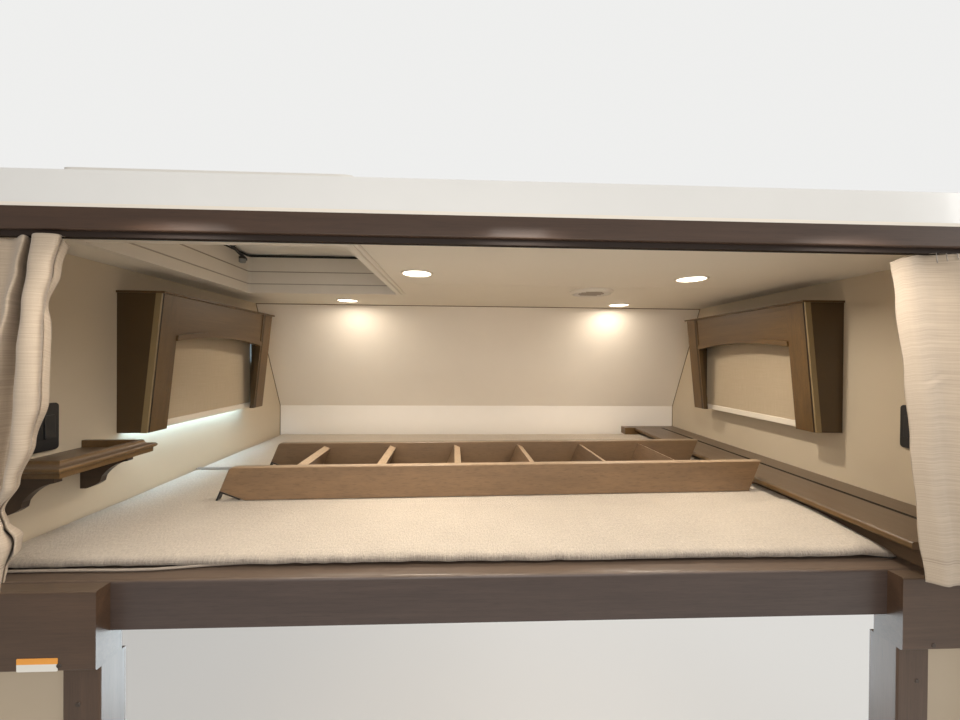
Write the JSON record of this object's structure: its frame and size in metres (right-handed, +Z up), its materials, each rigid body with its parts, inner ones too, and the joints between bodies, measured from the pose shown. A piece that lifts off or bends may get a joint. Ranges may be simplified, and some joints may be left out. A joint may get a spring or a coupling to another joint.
{
  "type": "motorhome over-cab sleeping loft",
  "caption": "Sleeping loft that sits over a motorhome's cab, with portal frame, mattress, side windows, roof hatch, storage box, curtains and a loose ladder.",
  "frame": {"origin": "on the underside of the deck, halfway along its clear length and midway between the side walls, where the loft sits on the cab", "axes": "+X to the right looking into the loft from the living area, +Y forward into the loft, +Z up"},
  "size_m": [2.498, 1.6199, 2.3153],
  "materials": {
    "plywood": "sanded plywood",
    "gelcoat": "polished white moulding",
    "wall_vinyl": "fine woven-look vinyl",
    "pale_strip": "smooth satin",
    "ceiling_vinyl": "matt foam-backed lining",
    "hatch_white": "satin moulding",
    "lid_white": "smooth moulding",
    "seal_rubber": "matt",
    "black_plastic": "satin black",
    "stained_wood": "brown-grey stain under satin lacquer",
    "tread_wood": "clear satin lacquer",
    "dark_track": "satin brown enamel",
    "track_metal": "white enamel",
    "window_metal": "black powder coat",
    "window_glass": "tinted safety glass",
    "shade_cloth": "fine weave",
    "shade_bar": "satin cream",
    "hinge_steel": "plated",
    "mattress_cloth": "fuzzy woven cover",
    "light_rim": "satin white",
    "light_lens": "frosted diffuser",
    "black_metal": "satin black",
    "curtain_cloth": "linen weave",
    "amber_lamp": "ribbed amber lens"
  },
  "bodies": {
    "loft": {"deck_panel": "plywood", "wall_left": "gelcoat", "wall_right": "gelcoat", "lining_left": "wall_vinyl", "lining_right": "wall_vinyl", "front_lining": "wall_vinyl", "front_ledge": "pale_strip", "front_cap": "gelcoat", "roof_panel": "gelcoat", "ceiling_panel": "ceiling_vinyl", "hatch_trim": "hatch_white", "hatch_curb": "gelcoat", "header_beam": "stained_wood", "curtain_track": "dark_track", "bunk_rail": "stained_wood", "corner_block_left": "stained_wood", "corner_block_right": "stained_wood", "post_left": "stained_wood", "post_right": "stained_wood", "side_panel_left": "wall_vinyl", "side_panel_right": "wall_vinyl", "window_frame_left": "window_metal", "window_frame_right": "window_metal", "window_glass_left": "window_glass", "window_glass_right": "window_glass", "cornice_stiles_left": "stained_wood", "cornice_stiles_right": "stained_wood", "cornice_valance_left": "stained_wood", "cornice_valance_right": "stained_wood", "shade_fabric_left": "shade_cloth", "shade_fabric_right": "shade_cloth", "shade_bar_left": "shade_bar", "shade_bar_right": "shade_bar", "shade_roller_left": "shade_bar", "shade_roller_right": "shade_bar", "storage_box": "stained_wood", "storage_strip": "stained_wood", "hinge_fixed_leaf": "hinge_steel", "shelf_board": "stained_wood", "shelf_brackets": "stained_wood", "wall_plate_left": "black_plastic", "wall_plate_right": "black_plastic", "mattress_near": "mattress_cloth", "mattress_far": "mattress_cloth", "downlight_rims": "light_rim", "downlight_lenses": "light_lens", "ceiling_vent": "light_rim", "curtain_left": "curtain_cloth", "curtain_right": "curtain_cloth", "marker_lamps": "amber_lamp", "shell_mouldings": "track_metal"},
    "box_lid": {"storage_lid": "stained_wood", "hinge_lid_leaf": "hinge_steel"},
    "roof_hatch": {"hatch_lid": "lid_white", "hatch_seal": "seal_rubber", "hatch_handle": "black_plastic"},
    "ladder": {"ladder_rail_near": "stained_wood", "ladder_rail_far": "stained_wood", "ladder_treads": "tread_wood", "ladder_hooks": "black_metal"}
  },
  "joints": [
    {"name": "box_lid_hinge", "type": "hinge", "parent": "loft", "child": "box_lid", "pos_m": [1.0998, -0.0575, 0.177], "axis": [0, 1, 0], "range_deg": [0, 100]},
    {"name": "roof_hatch_hinge", "type": "hinge", "parent": "loft", "child": "roof_hatch", "pos_m": [-0.7045, 0.1065, 1.0063], "axis": [-1, 0, 0], "range_deg": [0, 75]},
    {"name": "ladder_lift", "type": "slide", "parent": "loft", "child": "ladder", "axis": [0, 0, 1], "range_m": [0, 0.3]}
  ]
}
